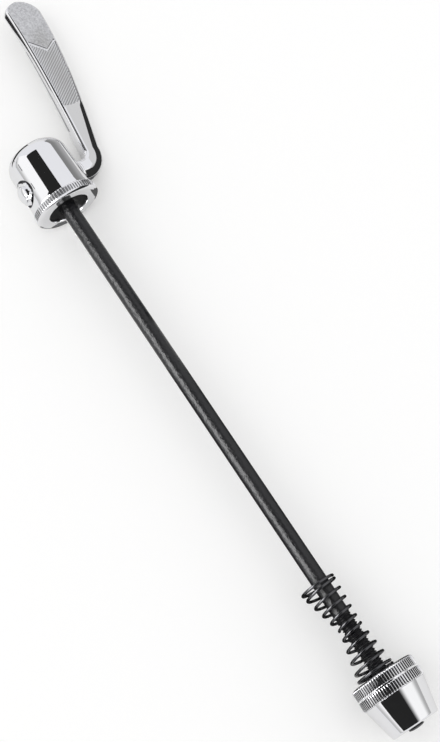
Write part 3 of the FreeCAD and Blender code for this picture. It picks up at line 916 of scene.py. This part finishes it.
def arm_section(bend):
    """The round arm's section at a bend of the elbow, about its own centre."""
    half = ARM_WIDTH / 2
    share = math.cos(bend) ** 2
    slope = between(ARM_BEVEL_SLOPE, ELBOW_BEVEL_SLOPE, share)
    bevel = between(ROOT_BEVEL_WIDTH, ELBOW_BEVEL_WIDTH, share)
    return section(-half, half, ARM_WIDTH, ARM_CORNER, ARM_CRISP_CORNER, bevel, slope)


def root_loops():
    """Sections of the lever from its shoulder to the elbow."""
    places = [SHOULDER_Y + ELBOW_RUN * k / ROOT_LOOPS for k in range(ROOT_LOOPS)]
    return [[laid((CAM_X + w, y, h)) for w, h in arm_section(0.0)] for y in places]


def elbow_loops():
    """Sections of the lever round its elbow."""
    x, y = CAM_X - ELBOW_RADIUS, SHOULDER_Y + ELBOW_RUN
    loops = []
    for k in range(ELBOW_LOOPS):
        bend = math.pi / 2 * k / ELBOW_LOOPS
        c, s = math.cos(bend), math.sin(bend)
        loops.append([laid((x + (ELBOW_RADIUS + w) * c, y + (ELBOW_RADIUS + w) * s, h))
                      for w, h in arm_section(bend)])
    return loops


def blade_reaches():
    """Distances of the blade's sections from the camshaft, closer on its face and closest at its tip."""
    reaches = [ELBOW_RADIUS + ARM_STEP * k for k in range(ARM_LOOPS)]
    while reaches[-1] < LEVER_REACH - TIP_SPAN:
        reaches.append(reaches[-1] + BLADE_STEP)
    start = reaches[-1]
    for k in range(1, TIP_LOOPS):
        reaches.append(between(start, LEVER_REACH, math.sin(math.pi / 2 * k / TIP_LOOPS)))
    return reaches


def blade_loops():
    """Sections of the lever from the elbow out to the tip, with its face's relief."""
    loops = []
    for reach in blade_reaches():
        inner, outer = blade_sides(reach)
        ease = blade_ease(reach)
        thickness = between(ARM_WIDTH, BLADE_THICKNESS, ease)
        corner = between(ARM_CORNER, BLADE_CORNER, ease)
        crisp = between(ARM_CRISP_CORNER, BLADE_CORNER, ease)
        along = min((reach - ELBOW_RADIUS) / (PANEL_START - ELBOW_RADIUS), 1.0)
        bevel = between(ROOT_BEVEL_WIDTH, ARM_BEVEL_WIDTH, along)
        bevel *= 1 - smooth_step(reach, PANEL_START - BEVEL_FADE, PANEL_START + BEVEL_FADE)
        loop = []
        for k, (y, h) in enumerate(section(inner, outer, thickness, corner, crisp, bevel)):
            lift = face_relief(reach, y, inner, outer)[0] if k < TOP_POINTS else 0.0
            loop.append(laid((CAM_X - reach, y, BLADE_RISE * ease + h + lift)))
        loops.append(loop)
    return loops


def finish_blade(bm):
    """The blade's face gets its ribbed and grained finishes, and painted shade in the ribs' valleys."""
    for face in bm.faces:
        place = upright(face.calc_center_median())
        reach = CAM_X - place.x
        if reach < FACE_FINISH_START:
            continue
        inner, outer = blade_sides(reach)
        if abs(upright(face.normal).z) > 0.5 and place.z > BLADE_RISE * blade_ease(reach):
            face.material_index = face_relief(reach, place.y, inner, outer)[1]


def lever():
    """The forged lever with its camshaft: collar, journal, cam lobe, end journal and stub."""
    bm = swept(root_loops() + elbow_loops() + blade_loops())
    finish_blade(bm)
    collar_y = SHOULDER_Y + COLLAR_WIDTH
    shaft = [(collar_y, CENTRE_RADIUS, 0), (collar_y, COLLAR_RADIUS, EDGE_ROUND),
             (SHOULDER_Y, COLLAR_RADIUS, THIN_EDGE_ROUND), (SHOULDER_Y, JOURNAL_RADIUS, 0),
             (LOBE_HALF_WIDTH, JOURNAL_RADIUS, 0), (LOBE_HALF_WIDTH, CENTRE_RADIUS, 0)]
    swept([shaft_loop(y, r) for y, r in softened(shaft, closed=False)], bm)
    throw = laid((0, 0, CAM_THROW))
    ends = (LOBE_HALF_WIDTH, -LOBE_HALF_WIDTH)
    swept([[p + throw for p in shaft_loop(y, CAM_RADIUS, ROD_POINTS)] for y in ends], bm)
    stub_y = -SPOT_FACE_Y - RUNNING_FIT
    stub_end = stub_y - STUB_LENGTH
    tail = [(-LOBE_HALF_WIDTH, CENTRE_RADIUS), (-LOBE_HALF_WIDTH, END_JOURNAL_RADIUS),
            (stub_y, END_JOURNAL_RADIUS), (stub_y, STUB_RADIUS), (stub_end, STUB_RADIUS),
            (stub_end, CENTRE_RADIUS)]
    swept([shaft_loop(y, r, ROD_POINTS) for y, r in tail], bm)
    obj = settled(bm, "lever_fine", "lever", "lever", CHROME, RIBBED_CHROME, GRAINED_CHROME, RIB_VALLEY_SHADE,
                  sharp=40.0)


# Rod and springs

def threaded_loop(x):
    """A section of the rod, with its thread near the tip."""
    start = ROD_TIP_X - THREAD_LENGTH
    fade_start, fade_end = (ROD_TIP_X - before for before in THREAD_RUN_OUT)
    cut = smooth_step(x, start, start + THREAD_RUN_IN) * (1 - smooth_step(x, fade_start, fade_end))
    points = []
    for k, angle in enumerate(angles(ROD_POINTS)):
        phase = (x / THREAD_PITCH - k / ROD_POINTS) % 1.0
        vee = min(max(VEE_HEIGHT - abs(phase - 0.5) * VEE_STEEPNESS, 0.0), 1.0)
        r = ROD_RADIUS - THREAD_DEPTH * cut * vee
        points.append(Vector((x, r * math.cos(angle), r * math.sin(angle))))
    return points


def eye_loop(y, radius):
    """A slot's outline round the cam lobe, across the camshaft."""
    points = []
    for k in range(ROD_POINTS):
        angle = TURN * (k + 0.5) / ROD_POINTS
        z = radius * math.sin(angle)
        points.append(laid((CAM_X + radius * math.cos(angle), y, z + math.copysign(CAM_THROW, z))))
    return points


def skewer_rod():
    """The rod with its thread and domed tip, and the forged eye round the cam lobe."""
    start = CAM_X + EYE_SLOT_HALF + EYE_WALL * ROD_SINK_SHARE
    thread_x = ROD_TIP_X - THREAD_LENGTH
    step = THREAD_PITCH / LOOPS_PER_PITCH
    threads = round((THREAD_LENGTH - TIP_CHAMFER) / step)
    loops = [threaded_loop(between(start, thread_x, k / PLAIN_ROD_LOOPS)) for k in range(PLAIN_ROD_LOOPS + 1)]
    loops += [threaded_loop(thread_x + step * k) for k in range(1, threads + 1)]
    for k in range(TIP_DOME_LOOPS):
        angle = math.pi / 2 * k / TIP_DOME_LOOPS
        x = ROD_TIP_X - TIP_CHAMFER * (1 - math.sin(angle))
        loops.append(rod_loop(x, ROD_RADIUS * math.cos(angle) ** TIP_DOME_FULLNESS, ROD_POINTS))
    loops.append(rod_loop(ROD_TIP_X, CENTRE_RADIUS, ROD_POINTS))
    bm = swept(loops)
    slot, outer, y = EYE_SLOT_HALF, EYE_SLOT_HALF + EYE_WALL, EYE_HALF_THICKNESS
    swept([eye_loop(-y, slot), eye_loop(-y, outer), eye_loop(y, outer), eye_loop(y, slot)], bm, ends="joined")
    obj = settled(bm, "skewer_rod_fine", "rod", "skewer_rod", BLACK_ROD, sharp=35.0)


def spring(name, body, node, wide_x, narrow_x, wide_radius, open_turns, lean):
    """Round wire wound from a closed wide end, which leans aside, down to a narrow end."""
    wide = wide_radius - WIRE_RADIUS
    heading = 1 if narrow_x > wide_x else -1
    open_length = abs(narrow_x - wide_x) - CLOSED_PITCH
    loops = []
    for station in range(round((1 + open_turns) * STATIONS_PER_TURN) + 1):
        turn = station / STATIONS_PER_TURN
        share = max(turn - 1, 0) / open_turns
        along = min(turn, 1) * CLOSED_PITCH + share * open_length
        outward = Vector((0, math.cos(TURN * turn), heading * math.sin(TURN * turn)))
        axis = Vector((wide_x + heading * along, lean * (share - 1), 0))
        centre = axis + outward * between(wide, SPRING_NARROW_RADIUS, share)
        loop = []
        for angle in angles(WIRE_POINTS):
            aside = Vector((WIRE_RADIUS * math.sin(angle), 0, 0))
            loop.append(centre + outward * (WIRE_RADIUS * math.cos(angle)) + aside)
        loops.append(loop)
    obj = settled(swept(loops), name, body, node, BLACK_WIRE)


# Nut end

def adjusting_nut():
    """Tapered nut with its knurled grip band, spigot and the pocket for the nylon ring."""
    seat = CLAMP_GAP + NUT_MOUTH_DEPTH + SEAT_FIT
    bore = ROD_RADIUS + RUNNING_FIT
    pocket = NUT_END_X - INSERT_RECESS - INSERT_LENGTH
    pocket_radius = INSERT_RADIUS + SEAT_FIT
    crest = GRIP_RADIUS
    cone = softened([(GRIP_END_X, crest - GRIP_STEP, 0), (GRIP_END_X, CONE_WIDE_RADIUS, EDGE_ROUND),
                     (NUT_END_X - CONE_END_RISE, CONE_NARROW_RADIUS, CONE_END_ROUND),
                     (NUT_END_X, CONE_NARROW_RADIUS - CONE_END_LAND, 0),
                     (NUT_END_X, pocket_radius, EDGE_ROUND), (pocket, pocket_radius, 0),
                     (pocket, bore, 0)], closed=False, steps=CONE_ROUND_STEPS)
    bm = knurled([
        (seat, bore, 0), (seat, NUT_SPIGOT_RADIUS, 0), (NUT_RING_END_X, NUT_SPIGOT_RADIUS, 0),
        (NUT_RING_END_X, GROOVE_RADIUS, 0), (GRIP_START_X, GROOVE_RADIUS, 0),
        *band_edge(GRIP_START_X, 1, crest, GRIP_FRONT_EDGE),
        *band_edge(GRIP_END_X, -1, crest, GRIP_REAR_EDGE), *((x, r, 0) for x, r in cone)])
    shade_flutes(bm, crest, GRIP_START_X, GRIP_END_X, GRIP_SHADE)
    obj = settled(bm, "adjusting_nut_fine", "nut", "adjusting_nut", CHROME, PAINTED_SHADE, sharp=38.0)


def nut_ring():
    """Knurled ring on the nut's mouth."""
    start = CLAMP_GAP
    end = start + NUT_RING_WIDTH
    lip = start + NUT_MOUTH_DEPTH
    mouth = NUT_MOUTH_RADIUS
    seat = NUT_SPIGOT_RADIUS + SEAT_FIT
    crest = NUT_RING_RADIUS
    bm = knurled([
        (lip, mouth, 0), (lip, seat, 0), (end, seat, 0), *band_edge(end, -1, crest, NUT_RING_REAR_EDGE),
        *band_edge(start, 1, crest, NUT_RING_FRONT_EDGE),
        *((start + inward, mouth + out, 0) for inward, out in NUT_MOUTH_EDGE)])
    shade_flutes(bm, crest, start, end, NUT_RING_SHADE)
    obj = settled(bm, "nut_clamp_ring_fine", "nut", "nut_clamp_ring", CHROME, PAINTED_SHADE, sharp=38.0)


def lock_insert():
    """Nylon ring in the nut's small end."""
    end = NUT_END_X - INSERT_RECESS
    start = end - INSERT_LENGTH + SEAT_FIT
    bm = plain_ring(rod_loop, start, end, ROD_RADIUS + RUNNING_FIT, INSERT_RADIUS, INSERT_BORE_ROUND,
                    EDGE_ROUND)
    obj = settled(bm, "nut_lock_insert_fine", "nut", "nut_lock_insert", WHITE_NYLON)


cam_housing()
clamp_ring()
guide_bush()
lever()
lever_washer()
cap_nut()
skewer_rod()
spring("nut_side_spring_fine", "nut_spring", "nut_side_spring", NUT_SPRING_WIDE_X, NUT_SPRING_NARROW_X,
       NUT_SPRING_RADIUS, NUT_SPRING_OPEN_TURNS, NUT_SPRING_LEAN)
spring("lever_side_spring_fine", "lever_spring", "lever_side_spring", LEVER_SPRING_WIDE_X,
       LEVER_SPRING_NARROW_X, LEVER_SPRING_RADIUS, LEVER_SPRING_OPEN_TURNS, LEVER_SPRING_LEAN)
adjusting_nut()
nut_ring()
lock_insert()


# Studio
FLOOR_Z = cad_bounds[0][2] / MM
ON_FLOOR = FLOOR_Z + 0.2
FLOOR_HALF_WIDTH = 2500.0
FLOOR_CENTRE_X = 60.0
FLOOR_COLOUR = (0.875, 0.87, 0.845, 1.0)
FLOOR_LIFT = 0.15
SKY_COLOUR = (0.868, 0.873, 0.9, 1.0)
WHITE = (1.0, 1.0, 1.0, 1.0)
LAMP_AIM = (60, 0, 0)
LAMP_SIZE = 800.0

# The photograph's view, with its focal length and height in pixels
CAMERA_PLACE = Vector((185.0, -36.0, 470.0))
CAMERA_AIM = Vector((67.62, 10.19, 0.0))
CAMERA_ROLL = math.radians(145.82)
FOCAL_PIXELS = 1668.73
PHOTO_HEIGHT = 742
SENSOR_HEIGHT = 36.0


def glow(name, strength, fade):
    """A plain light-giving material for a card. fade is (axis, start, end, strength at the end)."""
    material, tree = new_material(name)
    tree.nodes.clear()
    light = add(tree, "ShaderNodeEmission")
    put(light, {"Strength": strength})
    if fade:
        axis, start, end, last = fade
        parts = add(tree, "ShaderNodeSeparateXYZ")
        tree.links.new(add(tree, "ShaderNodeTexCoord").outputs["Object"], parts.inputs["Vector"])
        ramp = ranged(tree, parts.outputs[axis], start * MM, end * MM, strength, last,
                      interpolation_type="SMOOTHSTEP")
        tree.links.new(ramp, light.inputs["Strength"])
    tree.links.new(light.outputs["Emission"], add(tree, "ShaderNodeOutputMaterial").inputs["Surface"])
    return material


def card(name, corners, strength, fade=None):
    """A studio card that shows only in reflections."""
    bm = bmesh.new()
    verts = bmesh.ops.create_grid(bm, x_segments=1, y_segments=1, size=1.0)["verts"]
    order = sorted(verts, key=lambda v: math.atan2(v.co.y, v.co.x))
    for v, p in zip(order, corners):
        v.co = Vector(p) * MM
    mesh = meshed(bm, name)
    mesh.materials.append(glow(name + "_glow", strength, fade))
    obj = linked(name, mesh)
    obj.visible_camera = False
    obj.visible_diffuse = False
    obj.visible_shadow = False


def lying(height, *places):
    """Corners of a level card at a height, from (x, y) places."""
    return [(x, y, height) for x, y in places]


def standing(start, end, low, high):
    """Corners of an upright card from one (x, y) place to another."""
    return [(*start, low), (*end, low), (*end, high), (*start, high)]


def floor():
    """A pale floor that the camera sees near white, with its soft shadow."""
    bm = bmesh.new()
    bmesh.ops.create_grid(bm, x_segments=1, y_segments=1, size=FLOOR_HALF_WIDTH * MM)
    bmesh.ops.translate(bm, verts=bm.verts, vec=(FLOOR_CENTRE_X * MM, 0, FLOOR_Z * MM))
    mesh = meshed(bm, "floor")
    material, tree = new_material("pale_floor")
    shader = tree.nodes["Principled BSDF"]
    put(shader, {"Base Color": FLOOR_COLOUR, "Roughness": 0.9, "Specular IOR Level": 0.0,
                 "Emission Color": WHITE})
    lift = add(tree, "ShaderNodeMath", operation="MULTIPLY")
    lift.inputs[1].default_value = FLOOR_LIFT
    tree.links.new(add(tree, "ShaderNodeLightPath").outputs["Is Camera Ray"], lift.inputs[0])
    tree.links.new(lift.outputs["Value"], shader.inputs["Emission Strength"])
    mesh.materials.append(material)
    obj = linked("floor", mesh)


def world():
    """An even pale sky that the camera sees as white."""
    sky = bpy.data.worlds.new("studio")
    sky.use_nodes = True
    tree = sky.node_tree
    back = tree.nodes["Background"]
    seen = add(tree, "ShaderNodeMix", data_type="RGBA")
    put(seen, {"A": SKY_COLOUR, "B": WHITE})
    tree.links.new(add(tree, "ShaderNodeLightPath").outputs["Is Camera Ray"], seen.inputs["Factor"])
    tree.links.new(seen.outputs["Result"], back.inputs["Color"])
    bpy.context.scene.world = sky


def cards():
    """What the chrome and the black rod reflect."""
    # Above the part and far beside it
    card("dark_overhead", lying(400, (-270, -172), (800, -1150), (800, 70), (-270, 118)), 0.02)
    card("soft_edge", lying(400, (150, 74), (800, 70), (800, 760), (150, 760)), 0.02, ("Y", 60, 240, 1.03))
    card("bright_side", standing((-1500, -900), (1500, -900), 400, 2200), 1.06)
    card("grey_side", standing((-1500, -900), (1500, -900), 60, 399), 0.55, ("Z", 120, 399, 1.0))
    card("grey_low", standing((-40, 600), (700, 600), -5, 330), 0.45, ("Z", 60, 330, 1.02))
    card("grey_band", standing((-420, 600), (-41, 600), -5, 130), 0.16, ("Z", 50, 130, 0.9))
    # Close beside the housing, the rod and the lever
    card("grey_beside", standing((-60, 30), (0, 30), 0, 7), 0.68)
    card("grey_gap", standing((-30, 13), (-4, 13), 2.3, 9.8), 0.42, ("Z", 3, 8, 0.24))
    card("rod_light", [(-8, -56, 22), (146, -56, 22), (146, -30, 52), (-8, -30, 52)], 7.2)
    # On the floor, and the last two standing on it. The ones lying on the floor paint the part's shadow there
    # into its reflections
    card("rod_shade", lying(ON_FLOOR, (55, -46), (162, -46), (162, 46), (55, 46)), 0.06)
    card("ring_low_shade", lying(ON_FLOOR, (0.1, -13), (2.0, -13), (2.0, -2), (0.1, -2)), 0.14)
    card("ring_side_shade", lying(ON_FLOOR, (-6, 9.5), (6, 9.5), (6, 17), (-6, 17)), 0.1)
    card("dark_under_lever", lying(ON_FLOOR, (-95, -40), (-46, -40), (-46, 1.4), (-95, 4.9)), 0.03)
    card("edge_shade", lying(ON_FLOOR, (-60, 3.7), (-28, 5.6), (-28, 7.4), (-60, 5.2)), 0.3)
    card("dark_beside_lever", standing((-46, 45), (14, 45), ON_FLOOR, -3.0), 0.03)
    card("dark_beside_elbow", standing((14, 45), (42, 8), ON_FLOOR, 9.0), 0.03)


def lamp(name, place, power):
    """A soft square lamp over the part."""
    data = bpy.data.lights.new(name, "AREA")
    data.size = LAMP_SIZE * MM
    data.energy = power
    obj = linked(name, data)
    obj.location = Vector(place) * MM
    obj.rotation_euler = (Vector(LAMP_AIM) - Vector(place)).to_track_quat("-Z", "Y").to_euler()
    obj.visible_glossy = False


def camera():
    """The photograph's view: from above the nut's end, turned about its line of sight."""
    place = CAMERA_PLACE
    back = (place - CAMERA_AIM).normalized()
    side = Vector((1, 0, 0)).cross(back).normalized()
    up = back.cross(side)
    c, s = math.cos(CAMERA_ROLL), math.sin(CAMERA_ROLL)
    right = side * c + up * s
    top = up * c - side * s
    data = bpy.data.cameras.new("camera")
    data.sensor_fit = "VERTICAL"
    data.sensor_height = SENSOR_HEIGHT
    data.lens = SENSOR_HEIGHT * FOCAL_PIXELS / PHOTO_HEIGHT
    data.clip_start = 0.01
    obj = linked("camera", data)
    obj.matrix_world = Matrix((
        (right.x, top.x, back.x, place.x * MM),
        (right.y, top.y, back.y, place.y * MM),
        (right.z, top.z, back.z, place.z * MM),
        (0, 0, 0, 1)))
    bpy.context.scene.camera = obj


floor()
world()
cards()
lamp("overhead_lamp", (-200, -500, 700), 0.9)
lamp("side_lamp", (200, 600, 600), 0.5)
camera()

scene = bpy.context.scene
scene.view_settings.view_transform = "Standard"
